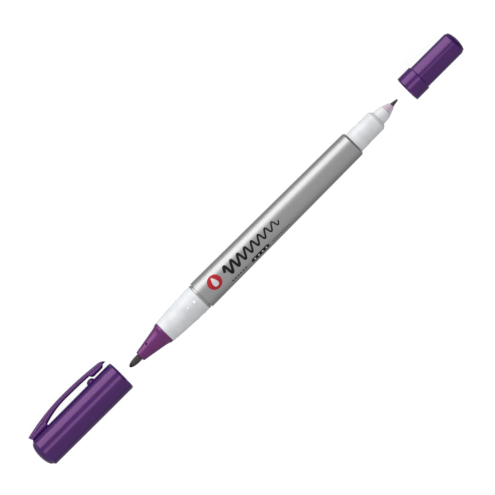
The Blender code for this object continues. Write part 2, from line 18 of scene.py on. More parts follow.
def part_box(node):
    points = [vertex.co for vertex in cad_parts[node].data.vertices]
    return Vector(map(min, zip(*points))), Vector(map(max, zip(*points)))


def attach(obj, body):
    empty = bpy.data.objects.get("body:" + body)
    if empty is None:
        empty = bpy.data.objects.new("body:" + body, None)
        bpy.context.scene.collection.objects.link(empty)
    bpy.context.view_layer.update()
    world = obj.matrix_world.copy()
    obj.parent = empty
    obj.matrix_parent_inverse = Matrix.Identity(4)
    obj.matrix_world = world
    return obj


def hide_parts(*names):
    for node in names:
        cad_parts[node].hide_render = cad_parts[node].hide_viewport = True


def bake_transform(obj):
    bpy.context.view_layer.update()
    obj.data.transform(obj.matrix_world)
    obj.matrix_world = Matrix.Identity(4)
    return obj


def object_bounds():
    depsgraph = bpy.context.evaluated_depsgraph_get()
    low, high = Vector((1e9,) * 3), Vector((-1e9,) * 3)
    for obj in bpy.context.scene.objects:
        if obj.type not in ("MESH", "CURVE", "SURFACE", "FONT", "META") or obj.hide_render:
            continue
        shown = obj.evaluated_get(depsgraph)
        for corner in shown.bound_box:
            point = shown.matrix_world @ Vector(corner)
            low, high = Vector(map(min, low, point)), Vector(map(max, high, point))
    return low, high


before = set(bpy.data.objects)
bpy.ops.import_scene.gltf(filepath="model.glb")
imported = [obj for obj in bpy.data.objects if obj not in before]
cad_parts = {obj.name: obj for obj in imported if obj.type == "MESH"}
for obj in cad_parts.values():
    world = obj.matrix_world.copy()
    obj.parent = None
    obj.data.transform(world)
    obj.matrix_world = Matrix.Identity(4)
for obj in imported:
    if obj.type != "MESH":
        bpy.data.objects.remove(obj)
cad_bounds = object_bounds()

# What the frame says
BARREL_LOW, BARREL_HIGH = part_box("barrel")
CAP_LOW, CAP_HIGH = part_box("big_cap_shell")
SMALL_LOW, SMALL_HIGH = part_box("small_cap_shell")
PLUG_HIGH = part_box("big_cap_plug")[1]
AXIS_Y = (BARREL_LOW.y + BARREL_HIGH.y) / 2
AXIS_Z = (BARREL_LOW.z + BARREL_HIGH.z) / 2

# Turned pieces and their seams
ROUND = 144
FILLET_STEPS = 6
SEAM = 0.00003
SHARP_ANGLE = math.radians(30)

# Barrel and print
LIP_LENGTH = 0.001
LIP_RADIUS = 0.00515
GROOVE = 0.00035
BOLD_RADIUS = 0.00542
FINE_RADIUS = 0.00488
FINE_EDGE = 0.0002
BARREL_BORE = 0.00412
INK_THICKNESS = 0.00002
MARK_AT = -0.00645
MARK_SIZE = 0.0054
UNDER_STROKE = -0.0047

CLIP_DROP = math.radians(30)
BOLD_FACE = BARREL_HIGH.x - LIP_LENGTH
BARREL_LENGTH = BOLD_FACE - BARREL_LOW.x


def axis_frame(x, turn_back=False, roll=0.0):
    """A place on the pen's axis, with +X along the pen or turned back along it."""
    place = Matrix.Translation((x, AXIS_Y, AXIS_Z))
    if turn_back:
        place = place @ Matrix.Rotation(math.pi, 4, "Z")
    return place @ Matrix.Rotation(roll, 4, "X")


BOLD = axis_frame(BOLD_FACE)
FINE = axis_frame(BARREL_LOW.x, turn_back=True)
BIG = axis_frame(CAP_LOW.x, roll=CLIP_DROP)
SMALL = axis_frame(SMALL_HIGH.x, turn_back=True)
PRINT = axis_frame(BOLD_FACE, roll=CLIP_DROP)


# ---------------------------------------------------------------- mesh tools


def finish_piece(name, bm, place, body, material, replaces=()):
    """Make a shaded piece from bm, put it in its place and tell the frame about it."""
    bm.transform(place)
    bmesh.ops.recalc_face_normals(bm, faces=bm.faces)
    mesh = bpy.data.meshes.new(name)
    bm.to_mesh(mesh)
    bm.free()
    mesh.shade_smooth()
    mesh.set_sharp_from_angle(angle=SHARP_ANGLE)
    mesh.materials.append(material)
    piece = bpy.data.objects.new(name, mesh)
    bpy.context.scene.collection.objects.link(piece)
    if body:
        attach(piece, body)
    if replaces:
        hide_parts(*replaces)
    return piece


def rounded(corners):
    """A profile from corners (x, radius, fillet), each fillet an arc. A profile that starts
    on the axis is open, and the others close on themselves."""
    points = []
    is_open = corners[0][1] == 0
    for index, (x, radius, fillet) in enumerate(corners):
        corner = Vector((x, radius))
        if fillet == 0 or (is_open and index in (0, len(corners) - 1)):
            points.append(corner)
            continue
        before = Vector(corners[index - 1][:2]) - corner
        after = Vector(corners[(index + 1) % len(corners)][:2]) - corner
        half_turn = before.angle(after) / 2
        reach = min(fillet / math.tan(half_turn), before.length * 0.7, after.length * 0.7)
        size = reach * math.tan(half_turn)
        inward = (before.normalized() + after.normalized()).normalized()
        centre = corner + inward * size / math.sin(half_turn)
        start = corner + before.normalized() * reach - centre
        end = corner + after.normalized() * reach - centre
        first = math.atan2(start.y, start.x)
        sweep = (math.atan2(end.y, end.x) - first + math.pi) % (2 * math.pi) - math.pi
        for step in range(FILLET_STEPS + 1):
            angle = first + sweep * step / FILLET_STEPS
            points.append(centre + Vector((math.cos(angle), math.sin(angle))) * size)
    return points


def turned(corners, segments=ROUND):
    """A bmesh of the rounded profile turned about X."""
    bm = bmesh.new()
    points = [bm.verts.new((point.x, 0, point.y)) for point in rounded(corners)]
    path = points if corners[0][1] == 0 else points + points[:1]
    edges = [bm.edges.new(pair) for pair in zip(path, path[1:])]
    bmesh.ops.spin(
        bm,
        geom=points + edges,
        cent=(0, 0, 0),
        axis=(1, 0, 0),
        angle=2 * math.pi,
        steps=segments,
        use_merge=True,
    )
    bmesh.ops.remove_doubles(bm, verts=bm.verts, dist=1e-7)
    return bm


def loft(bm, rings):
    """Join rings of points with faces, and cap both ends."""
    rows = [[bm.verts.new(point) for point in ring] for ring in rings]
    around = range(len(rows[0]))
    for row, following in zip(rows, rows[1:]):
        for step in around:
            after = (step + 1) % len(around)
            bm.faces.new((row[step], row[after], following[after], following[step]))
    bm.faces.new(rows[0])
    bm.faces.new(rows[-1])


def spaced(start, end, steps):
    return [start + (end - start) * step / steps for step in range(steps + 1)]


def curve(start, end, steps, radius_at):
    """Corners without fillets along a formula."""
    return [(x, radius_at(x), 0) for x in spaced(start, end, steps)]


# ---------------------------------------------------------------- materials


MOULD_CLOUD = 0.003
MOULD_GRAIN = 0.0004
FLAKES_PER_METRE = 9000

class Surface:
    """A Principled material whose patterns follow the piece's own coordinates."""

    def __init__(self, name, **sockets):
        self.material = bpy.data.materials.new(name)
        self.material.use_nodes = True
        self.tree = self.material.node_tree
        self.shader = self.tree.nodes["Principled BSDF"]
        for socket, value in sockets.items():
            self.shader.inputs[socket.replace("_", " ")].default_value = value
        self.coordinates = self.tree.nodes.new("ShaderNodeTexCoord").outputs["Object"]

    def node(self, kind, links=(), **settings):
        made = self.tree.nodes.new(kind)
        for setting, value in settings.items():
            setattr(made, setting, value)
        for source, socket in links:
            self.tree.links.new(source, made.inputs[socket])
        return made

    def noise(self, size, detail=3.0, stretch=(1, 1, 1)):
        """Noise whose features are about size metres, longer along any stretched axis."""
        mapping = self.node("ShaderNodeMapping", [(self.coordinates, "Vector")])
        mapping.inputs["Scale"].default_value = [1 / factor for factor in stretch]
        noise = self.node("ShaderNodeTexNoise", [(mapping.outputs["Vector"], "Vector")])
        noise.inputs["Scale"].default_value = 1 / size
        noise.inputs["Detail"].default_value = detail
        return noise.outputs["Fac"]

    def colours(self, factor, *stops):
        """Base colour from a ramp over factor between two stops of (position, colour)."""
        ramp = self.node("ShaderNodeValToRGB", [(factor, "Fac")])
        for element, (position, colour) in zip(ramp.color_ramp.elements, stops):
            element.position = position
            element.color = (*colour, 1)
        self.tree.links.new(ramp.outputs["Color"], self.shader.inputs["Base Color"])

    def roughness(self, factor, low, high):
        spread = self.node("ShaderNodeMapRange", [(factor, "Value")])
        spread.inputs["To Min"].default_value = low
        spread.inputs["To Max"].default_value = high
        self.tree.links.new(spread.outputs["Result"], self.shader.inputs["Roughness"])

    def relief(self, factor, height):
        bump = self.node("ShaderNodeBump", [(factor, "Height")])
        bump.inputs["Distance"].default_value = height
        bump.inputs["Strength"].default_value = 1.0
        self.tree.links.new(bump.outputs["Normal"], self.shader.inputs["Normal"])


def shade(colour, factor):
    return tuple(min(channel * factor, 1.0) for channel in colour)


def moulded(name, colour, roughness, relief=0.000003, **sockets):
    """Injection-moulded plastic: a slight cloudiness and the fine grain of its mould."""
    surface = Surface(name, **sockets)
    cloud = surface.noise(MOULD_CLOUD, 2)
    surface.colours(cloud, (0.3, shade(colour, 0.92)), (0.7, shade(colour, 1.06)))
    fine = surface.noise(MOULD_GRAIN, 4)
    surface.roughness(fine, roughness - 0.05, roughness + 0.05)
    surface.relief(fine, relief)
    return surface.material


def silver_lacquer():
    """Grey metallic lacquer with fine flakes over moulded plastic."""
    surface = Surface("silver_lacquer", Metallic=0.9)
    flakes = surface.node("ShaderNodeTexVoronoi", [(surface.coordinates, "Vector")])
    flakes.inputs["Scale"].default_value = FLAKES_PER_METRE
    surface.colours(flakes.outputs["Distance"], (0.0, (0.38, 0.38, 0.386)), (0.8, (0.46, 0.46, 0.466)))
    surface.roughness(surface.noise(0.0006, 3), 0.36, 0.46)
    surface.relief(surface.noise(0.00018, 2), 0.000002)
    return surface.material


def nib_fibre():
    """Bonded fibres along the nib, soaked black at its point."""
    surface = Surface("nib_fibre", Sheen_Weight=0.25, Sheen_Roughness=0.5)
    fibres = surface.noise(0.00012, 4, stretch=(14, 1, 1))
    along = surface.node("ShaderNodeSeparateXYZ", [(surface.coordinates, "Vector")]).outputs["X"]
    dryness = surface.node("ShaderNodeMapRange", [(along, "Value")])
    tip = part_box("bold_nib")[1].x
    dryness.inputs["From Min"].default_value = tip - 0.0005
    dryness.inputs["From Max"].default_value = tip - 0.0016
    dryness_and_fibres = [(fibres, 0), (dryness.outputs["Result"], 1)]
    dry_fibres = surface.node("ShaderNodeMath", dryness_and_fibres, operation="MULTIPLY").outputs["Value"]
    surface.colours(dry_fibres, (0.20, (0.008, 0.006, 0.007)), (0.72, (0.090, 0.068, 0.070)))
    surface.roughness(fibres, 0.65, 0.9)
    surface.relief(fibres, 0.00002)
    return surface.material


def fine_point():
    surface = Surface("fine_point")
    fibres = surface.noise(0.00008, 3, stretch=(10, 1, 1))
    surface.colours(fibres, (0.3, (0.022, 0.015, 0.024)), (0.8, (0.105, 0.082, 0.110)))
    surface.roughness(fibres, 0.35, 0.6)
    surface.relief(fibres, 0.00001)
    return surface.material


def reservoir_fibre():
    surface = Surface("reservoir_fibre", Sheen_Weight=0.3)
    fibres = surface.noise(0.0002, 4, stretch=(30, 1, 1))
    surface.colours(fibres, (0.3, (0.10, 0.03, 0.16)), (0.75, (0.30, 0.16, 0.40)))
    surface.roughness(fibres, 0.8, 0.95)
    surface.relief(fibres, 0.00005)
    return surface.material


def printed(name, colour):
    """Screen-printed ink, slightly uneven in cover."""
    surface = Surface(name, IOR=1.3)
    cover = surface.noise(0.0003, 3)
    surface.colours(cover, (0.3, shade(colour, 0.85)), (0.7, shade(colour, 1.2)))
    surface.roughness(cover, 0.45, 0.6)
    surface.relief(cover, 0.000002)
    return surface.material


PURPLE = (0.031, 0.003, 0.100)
CONE_PURPLE = (0.142, 0.018, 0.145)
COOL_WHITE = (0.83, 0.85, 0.874)

SILVER = silver_lacquer()
WHITE = moulded("white_plastic", COOL_WHITE, 0.3)
CAP_PURPLE = moulded(
    "cap_purple", PURPLE, 0.23, relief=0.0000008, IOR=1.71, Specular_Tint=(1.0, 0.49, 0.95, 1.0)
)
CONE = moulded(
    "cone_purple", CONE_PURPLE, 0.25, relief=0.000001, IOR=1.69, Specular_Tint=(1.0, 0.52, 0.95, 1.0)
)
SLEEVE = moulded("lilac_sleeve", (0.82, 0.66, 0.81), 0.22, Transmission_Weight=0.2, IOR=1.45)
# Whiter than the grip's own plastic: this lighter colour is a painted glint on the snap beads, while the low
# roughness is their real polish
GLINT_WHITE = moulded("polished_glint_white", (0.95, 0.95, 0.96), 0.15, relief=0.000001, IOR=2.0)
SOFT_WHITE = moulded("soft_white", (0.74, 0.74, 0.75), 0.5, Subsurface_Weight=0.2, Subsurface_Scale=0.001)
FILM = moulded("clear_film", (0.85, 0.85, 0.88), 0.15, Transmission_Weight=0.9)
BOLD_FIBRE = nib_fibre()
FINE_POINT = fine_point()
RESERVOIR = reservoir_fibre()
RED_INK = printed("red_ink", (0.50, 0.020, 0.030))
PALE_INK = printed("pale_ink", (0.78, 0.76, 0.76))
BLACK_INK = printed("black_ink", (0.007, 0.007, 0.009))
GREY_INK = printed("grey_ink", (0.055, 0.055, 0.058))


# ---------------------------------------------------------------- barrel and its print


def barrel_radius(x):
    """Outer radius at a distance along BOLD's X, which is negative on the barrel."""
    return BOLD_RADIUS + (FINE_RADIUS - BOLD_RADIUS) * -x / BARREL_LENGTH


def barrel():
    end = FINE_EDGE - BARREL_LENGTH
    corners = [
        (LIP_LENGTH, BARREL_BORE, 0.0001),
        (LIP_LENGTH, LIP_RADIUS, 0.00018),
        (GROOVE, LIP_RADIUS, 0.00005),
        (GROOVE, LIP_RADIUS - GROOVE, 0.00003),
        (0, LIP_RADIUS - GROOVE, 0.00003),
        (0, BOLD_RADIUS, 0.00012),
        (end + 0.0006, FINE_RADIUS, 0.0006),
        (end, FINE_RADIUS - 0.00062, 0.0002),
        (end, BARREL_BORE, 0.0001),
    ]
    finish_piece("barrel_tube", turned(corners), BOLD, "pen_body", SILVER, ["barrel"])


def on_barrel(x, arc, lift):
    """A point of the print: x along the barrel, arc round it from the camera's side."""
    radius = barrel_radius(x)
    angle = arc / radius
    return Vector((x, -math.sin(angle) * (radius + lift), math.cos(angle) * (radius + lift)))


def ink_band(bm, path, widths, across=4, layer=1):
    """A thin strip of ink along (x, arc) points, with a width at each."""
    rings = []
    for index, (x, arc) in enumerate(path):
        back = path[max(index - 1, 0)]
        ahead = path[min(index + 1, len(path) - 1)]
        along = Vector((ahead[0] - back[0], ahead[1] - back[1])).normalized()
        side = Vector((-along.y, along.x)) * widths[index] / 2
        ring = []
        for lift, shares in ((layer, spaced(-1, 1, across)), (-1, spaced(1, -1, across))):
            for share in shares:
                ring.append(on_barrel(x + side.x * share, arc + side.y * share, lift * INK_THICKNESS))
        rings.append(ring)
    loft(bm, rings)


def dash(bm, x, arc, length, width, layer=1):
    """A short stroke with rounded ends, lying along the barrel."""
    shares = [math.sin(math.pi / 2 * share) for share in spaced(-1, 1, 16)]
    widths = []
    for share in shares:
        inset = max(abs(share) * length - (length - width), 0) / width
        widths.append(width * max(math.sqrt(max(1 - inset**2, 0)), 0.04))
    path = [(x + share * length / 2, arc) for share in shares]
    ink_band(bm, path, widths, across=8, layer=layer)


def round_mark():
    """A red roundel."""
    bm = bmesh.new()
    dash(bm, MARK_AT, 0, MARK_SIZE, MARK_SIZE)
    return bm


def drop_mark():
    """A drop of ink that falls towards the pen's lower side."""
    bm = bmesh.new()
    shares = spaced(0, 1, 20)
    low, height, width = -0.0017, 0.0036, 0.0021
    widths = [width * max(math.sin(math.pi * (1 - share) ** 0.6) ** 0.8, 0.02) for share in shares]
    path = [(MARK_AT, low + height * (1 - share)) for share in shares]
    ink_band(bm, path, widths, across=8, layer=2)
    return bm


def stroke_sample():
    """A slanted wave that runs from a bold stroke to a fine one."""
    bm = bmesh.new()
    start, length, waves, slant = -0.0113, 0.0256, 8, 0.2
    tall, tall_loss, wide, wide_loss, drop = 0.0019, 0.0008, 0.00105, 0.00055, 0.0003
    path, widths = [], []
    for share in spaced(0, 1, waves * 28):
        height = tall - tall_loss * share
        arc = height * math.sin(2 * math.pi * waves * share) - drop
        path.append((start - length * share - slant * arc, arc))
        widths.append(wide - wide_loss * share)
    ink_band(bm, path, widths)
    return bm


def stitch_row(start, count, pitch, length, width):
    """A row of running stitches under the stroke."""
    bm = bmesh.new()
    for index in range(count):
        dash(bm, start - pitch * index, UNDER_STROKE, length, width)
    return bm


def pill():
    """A dark pill between the rows of stitches."""
    bm = bmesh.new()
    dash(bm, -0.02465, UNDER_STROKE, 0.0084, 0.0017)
    return bm


def pill_dots():
    """Four dots over the pill."""
    bm = bmesh.new()
    for step in range(4):
        dash(bm, -0.0220 - 0.0018 * step, UNDER_STROKE, 0.0007, 0.0007, layer=2)
    return bm


def barrel_print():
    """Generic marks: they hold no letters and stand for no maker."""
    bold_row = stitch_row(-0.0114, 6, pitch=0.00125, length=0.00085, width=0.0006)
    fine_row = stitch_row(-0.0308, 9, pitch=0.00095, length=0.00062, width=0.0004)
    marks = (
        ("print_roundel", round_mark(), RED_INK),
        ("print_drop", drop_mark(), PALE_INK),
        ("print_stroke", stroke_sample(), BLACK_INK),
        ("print_stitches_bold", bold_row, BLACK_INK),
        ("print_stitches_fine", fine_row, GREY_INK),
        ("print_pill", pill(), BLACK_INK),
        ("print_pill_dots", pill_dots(), PALE_INK),
    )
    for name, bm, ink in marks:
        finish_piece(name, bm, PRINT, "pen_body", ink)


# ---------------------------------------------------------------- bold end


SLEEVE_BORE = 0.00335
SPIGOT_RADIUS = 0.004
# The grip's rounded front edge reaches this far past its CAD solid
GRIP_ROLL = 0.00035
GRIP_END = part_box("bold_grip")[1].x - BOLD_FACE + GRIP_ROLL
GRIP_REAR_RADIUS = 0.00512
GRIP_TAPER = 0.00080
GRIP_TAPER_POWER = 1.7
CONE_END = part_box("nose_cone")[1].x - BOLD_FACE
CONE_BASE_RADIUS = 0.0042
CONE_BORE = 0.00145
CONE_FLARE = 0.0008
CONE_SPIGOT = 0.0067
CONE_SPIGOT_RADIUS = 0.00305
VENT_AT = 0.02512
VENT_RADIUS = 0.0004
VENT_ANGLE = math.radians(156)


def grip_radius(x):
    share = (x - LIP_LENGTH) / (GRIP_END - LIP_LENGTH)
    return GRIP_REAR_RADIUS - GRIP_TAPER * max(share, 0) ** GRIP_TAPER_POWER


def bold_grip():
    rear = LIP_LENGTH + SEAM
    corners = [(-0.007, SLEEVE_BORE, 0), (-0.007, SPIGOT_RADIUS, 0.0003), (rear, SPIGOT_RADIUS, 0)]
    corners += [(rear, grip_radius(rear), 0.00008)]
    corners += curve(rear + 0.001, GRIP_END - 0.001, 24, grip_radius)
    corners += [(GRIP_END, grip_radius(GRIP_END), 0.0004), (GRIP_END, SLEEVE_BORE, 0)]
    finish_piece("grip_moulding", turned(corners), BOLD, "pen_body", WHITE, ["bold_grip"])


def snap_beads():
    """Low beads round the grip that hold the cap on."""
    bm = bmesh.new()
    for x, size in ((0.0032, 0.00046), (0.0063, 0.00035)):
        for quarter in range(4):
            turn = Matrix.Rotation(math.pi / 2 * quarter, 4, "X")
            sit = Matrix.Translation((x, 0, grip_radius(x)))
            shape = Matrix.Diagonal((size, size * 1.2, size * 0.4, 1))
            bmesh.ops.create_uvsphere(bm, u_segments=24, v_segments=12, radius=1, matrix=turn @ sit @ shape)
    # The beads' lighter white is a painted glint, not a different plastic
    finish_piece("grip_snap_beads", bm, PRINT, "pen_body", GLINT_WHITE)


def cone_radius(x):
    """A straight cone that flares quickly into its base."""
    base = GRIP_END + CONE_FLARE
    share = (x - base) / (CONE_END - base)
    rear_radius, taper, flare, flare_length = 0.00382, 0.00193, 0.0004, 0.00078
    return rear_radius - taper * share + flare * math.exp(-(x - base) / flare_length)


def nose_cone():
    base = GRIP_END + SEAM
    corners = [
        (base - CONE_SPIGOT, CONE_BORE, 0),
        (base - CONE_SPIGOT, CONE_SPIGOT_RADIUS, 0.0002),
        (base, CONE_SPIGOT_RADIUS, 0),
        (base, CONE_BASE_RADIUS, 0.0001),
        (GRIP_END + CONE_FLARE, CONE_BASE_RADIUS, 0.0001),
    ]
    corners += curve(GRIP_END + CONE_FLARE + 0.00005, CONE_END - 0.0006, 44, cone_radius)
    corners += [(CONE_END, cone_radius(CONE_END), 0.0003), (CONE_END, CONE_BORE, 0.00008)]
    cone = finish_piece(
        "cone_moulding", turned(corners), BOLD, "pen_body", CONE, ["nose_cone"]
    )

    bm = bmesh.new()
    toward = Matrix.Rotation(VENT_ANGLE - math.pi / 2, 4, "X")
    middle = Matrix.Translation((VENT_AT, 0, 0)) @ toward @ Matrix.Translation((0, 0, 0.0025))
    bmesh.ops.create_cone(
        bm,
        cap_ends=True,
        segments=32,
        radius1=VENT_RADIUS,
        radius2=VENT_RADIUS,
        depth=0.0034,
        matrix=BOLD @ middle,
    )
    mesh = bpy.data.meshes.new("vent_cutter")
    bm.to_mesh(mesh)
    bm.free()
    cutter = bpy.data.objects.new("vent_cutter", mesh)
    bpy.context.scene.collection.objects.link(cutter)
    modifier = cone.modifiers.new("vent", "BOOLEAN")
    modifier.object = cutter
    bake_modifiers(cone)
    bpy.data.objects.remove(cutter, do_unlink=True)


def bake_modifiers(piece):
    """Make a piece's evaluated mesh its own."""
    bpy.context.view_layer.update()
    evaluated = piece.evaluated_get(bpy.context.evaluated_depsgraph_get())
    mesh = bpy.data.meshes.new_from_object(evaluated)
    piece.modifiers.clear()
    piece.data = mesh


def bold_nib():
    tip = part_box("bold_nib")[1].x - BOLD_FACE
    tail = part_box("bold_nib")[0].x - BOLD_FACE
    nose, radius = 0.00423, 0.00125

    def bullet(share):
        return (tip - nose + nose * share, radius * (1 - share**2.3) ** 0.52, 0)

    shares = [math.sin(math.pi / 2 * share) for share in spaced(0, 1, 20)]
    corners = [(tail, 0, 0), (tail, radius, 0.0001)]
    corners += [bullet(share) for share in shares[:-1]] + [(tip, 0, 0)]
    finish_piece(
        "bold_nib_bullet", turned(corners, 96), BOLD, "pen_body", BOLD_FIBRE, ["bold_nib"]
    )


# ---------------------------------------------------------------- fine end


NOZZLE_END = BARREL_LOW.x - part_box("fine_neck")[0].x
SLEEVE_END = BARREL_LOW.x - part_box("fine_tip_sleeve")[0].x
FINE_TIP = BARREL_LOW.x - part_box("fine_nib")[0].x
NECK_REAR = BARREL_LOW.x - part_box("fine_neck")[1].x
FINE_TAIL = BARREL_LOW.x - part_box("fine_nib")[1].x
NECK_FRONT = 0.0037
NECK_RADIUS = 0.0039
SHOULDER = 0.01067
NOZZLE_BASE = 0.01194
NOZZLE_BORE = 0.00165
SLEEVE_SPIGOT_RADIUS = 0.00135
NIB_BORE = 0.00097
NIB_RADIUS = 0.00082


def nozzle_radius(x):
    share = (x - NOZZLE_BASE) / (NOZZLE_END - NOZZLE_BASE)
    rear_radius, taper, swell = 0.00266, 0.00048, 0.00012
    return rear_radius - taper * share + swell * math.sin(math.pi * min(max(share, 0), 1))


def fine_neck():
    corners = [
        (NECK_REAR, SLEEVE_BORE, 0),
        (NECK_REAR, SPIGOT_RADIUS, 0.0003),
        (NECK_FRONT, SPIGOT_RADIUS, 0.00006),
        (NECK_FRONT, NECK_RADIUS, 0.00005),
        (SHOULDER, NECK_RADIUS, 0.00025),
        (NOZZLE_BASE, nozzle_radius(NOZZLE_BASE), 0.00012),
    ]
    corners += curve(0.01215, NOZZLE_END - 0.0005, 12, nozzle_radius)
    corners += [
        (NOZZLE_END, nozzle_radius(NOZZLE_END), 0.00035),
        (NOZZLE_END, NOZZLE_BORE, 0.0001),
        (0.0096, NOZZLE_BORE, 0),
        (0.0096, SLEEVE_BORE, 0),
    ]
    finish_piece("neck_moulding", turned(corners), FINE, "pen_body", WHITE, ["fine_neck"])


def fine_tip():
    base = NOZZLE_END + SEAM
    corners = [
        (base - 0.005, NIB_BORE, 0),
        (base - 0.005, SLEEVE_SPIGOT_RADIUS, 0.0001),
        (base, SLEEVE_SPIGOT_RADIUS, 0),
        (base, 0.00206, 0.0001),
        (SLEEVE_END, 0.00112, 0.00006),
        (SLEEVE_END, NIB_BORE, 0.00004),
    ]
    finish_piece(
        "tip_sleeve", turned(corners, 96), FINE, "pen_body", SLEEVE, ["fine_tip_sleeve"]
    )
    corners = [
        (FINE_TAIL, 0, 0),
        (FINE_TAIL, NIB_RADIUS, 0.0001),
        (SLEEVE_END, NIB_RADIUS, 0.0004),
        (FINE_TIP, 0.0003, 0.00028),
        (FINE_TIP, 0, 0),
    ]
    finish_piece(
        "fine_nib_point", turned(corners, 96), FINE, "pen_body", FINE_POINT, ["fine_nib"]
    )


# ---------------------------------------------------------------- big cap


TUBE = CAP_HIGH.x - CAP_LOW.x
CAP_LENGTH = PLUG_HIGH.x - CAP_LOW.x
CAP_RADIUS = AXIS_Z - cad_bounds[0].z
CAP_END_RADIUS = 0.0057
PLUG_SEAT_RADIUS = 0.0049
PLUG_REAR = 0.0367
PLUG_REAR_RADIUS = 0.0039
CLIP_TIP = TUBE - (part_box("clip_arm")[0].x - CAP_LOW.x)
CLIP_SECTION = 0.74
CLIP_UNDERSIDE = 0.00779
CLIP_CREST = 0.00962
CREST_DEPTH = 0.0185
CLIP_ROOT = 0.008
PAD_START = 0.0299
PAD_END = 0.0357
PAD_RAMP = 0.0013
PAD_LEVEL = 0.00631
BEAK_START = 0.035


def big_cap_shell():
    corners = [
        (0, 0.00532, 0.00004),
        (0, 0.00552, 0.0001),
        (0.00045, CAP_RADIUS, 0.0007),
        (0.012, CAP_RADIUS, 0),
        (TUBE - 0.0006, CAP_END_RADIUS, 0.0003),
        (TUBE, CAP_END_RADIUS - 0.0006, 0.0001),
        (TUBE, PLUG_SEAT_RADIUS, 0.00006),
        (TUBE - 0.0006, PLUG_SEAT_RADIUS, 0),
        (TUBE - 0.0006, 0.0042, 0),
        (0.035, 0.0042, 0.0001),
        (0.035, 0.00505, 0.0001),
    ]
    finish_piece("cap_tube", turned(corners), BIG, "big_cap", CAP_PURPLE, ["big_cap_shell"])

    bm = bmesh.new()
    catch = Matrix.Translation((TUBE - 0.0287, -CAP_RADIUS, 0))
    shape = Matrix.Diagonal((0.00155, 0.0011, 0.0012, 1))
    bmesh.ops.create_uvsphere(bm, u_segments=48, v_segments=32, radius=1, matrix=catch @ shape)
    everything = [*bm.verts, *bm.edges, *bm.faces]
    root = Vector((0, 0.00025 - CAP_RADIUS, 0))
    bmesh.ops.bisect_plane(bm, geom=everything, plane_co=root, plane_no=(0, 1, 0), clear_outer=True)
    bmesh.ops.holes_fill(bm, edges=bm.edges)
    finish_piece("cap_clip_catch", bm, BIG, "big_cap", CAP_PURPLE)


def big_cap_plug():
    radius = PLUG_SEAT_RADIUS - SEAM
    height = CAP_LENGTH - TUBE
    dome = [
        (TUBE + height * math.sin(angle), radius * math.cos(angle), 0)
        for angle in spaced(0, math.pi / 2, 24)[:-1]
    ]
    corners = [(PLUG_REAR, 0, 0), (PLUG_REAR, PLUG_REAR_RADIUS, 0.0001), (TUBE - 0.0005, PLUG_REAR_RADIUS, 0)]
    corners += [(TUBE - 0.0005, radius, 0.0001), *dome, (CAP_LENGTH, 0, 0)]
    finish_piece("cap_end_plug", turned(corners), BIG, "big_cap", CAP_PURPLE, ["big_cap_plug"])


def clip_top(depth):
    """Height over the axis of the clip's outer line, at a depth from the tube's closed end."""
    root_drop, root_run = 0.0017, 0.016
    arm_drop, arm_run, beak_drop = 0.00095, 0.0165, 0.00085
    if depth < CREST_DEPTH:
        return CLIP_CREST - root_drop * ((CREST_DEPTH - depth) / root_run) ** 2
    beak = max(depth - BEAK_START, 0) / (CLIP_TIP - BEAK_START)
    return CLIP_CREST - arm_drop * ((depth - CREST_DEPTH) / arm_run) ** 2 - beak_drop * beak**2


def clip_under(depth):
    """Height of its inner line: the root on the tube, the arm, the pad and the beak."""
    inside_tube, beak_level = 0.0052, 0.0072
    root_drop, root_run = 0.00165, 0.0105
    arm_drop, arm_run = 0.0002, 0.0093
    if depth < CLIP_ROOT:
        return inside_tube
    if depth < CREST_DEPTH:
        return CLIP_UNDERSIDE - root_drop * ((CREST_DEPTH - depth) / root_run) ** 2
    line = CLIP_UNDERSIDE - arm_drop * ((depth - CREST_DEPTH) / arm_run) ** 2
    beak = min(max(depth - BEAK_START, 0) / (CLIP_TIP - BEAK_START), 1)
    line += (beak_level - line) * beak
    ramp_in = min(max(depth - PAD_START, 0) / PAD_RAMP, 1)
    ramp_out = min(max(PAD_END - depth, 0) / PAD_RAMP, 1)
    swell = math.sqrt(1 - (1 - ramp_in) ** 2) * math.sqrt(1 - (1 - ramp_out) ** 2)
    return line + (PAD_LEVEL - line) * swell


def clip_half_width(depth):
    """Half its width, which is widest at the root and narrows at the beak."""
    arm, root_extra, beak_loss = 0.00148, 0.00042, 0.00058
    root = arm + root_extra * max(1 - depth / CLIP_ROOT, 0)
    beak = max(depth - PAD_END, 0) / (CLIP_TIP - PAD_END)
    return root - beak_loss * beak**2


def clip():
    """The clip in one piece, from its root on the end plug to its beak."""
    rings = []
    for depth in spaced(0, CLIP_TIP, 120):
        top, under, width = clip_top(depth), clip_under(depth), clip_half_width(depth)
        middle, half = (top + under) / 2, (top - under) / 2
        ring = []
        for step in range(40):
            angle = 2 * math.pi * (step + 0.5) / 40
            up = math.copysign(abs(math.cos(angle)) ** CLIP_SECTION, math.cos(angle))
            across = math.copysign(abs(math.sin(angle)) ** CLIP_SECTION, math.sin(angle))
            undercut = 0.0009 * max(1 - depth / 0.004, 0) * (1 - up) / 2
            ring.append(Vector((TUBE - depth - undercut, -middle - up * half, across * width)))
        rings.append(ring)
    bm = bmesh.new()
    loft(bm, rings)
    piece = finish_piece("cap_clip", bm, BIG, None, CAP_PURPLE, ["clip_arm"])
    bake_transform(piece)


def seal_cup(name, mouth, end, mouth_radius, end_radius, wall, place, body, node):
    """The cup inside a cap, from its mouth to its closed end."""
    corners = [
        (end - wall, 0, 0),
        (end - wall, end_radius - wall, 0.0003),
        (mouth, mouth_radius - wall, 0.0001),
        (mouth, mouth_radius, 0.0001),
        (end, end_radius, 0.0004),
        (end, 0, 0),
    ]
    finish_piece(name, turned(corners, 96), place, body, SOFT_WHITE, [node])


# ---------------------------------------------------------------- small cap


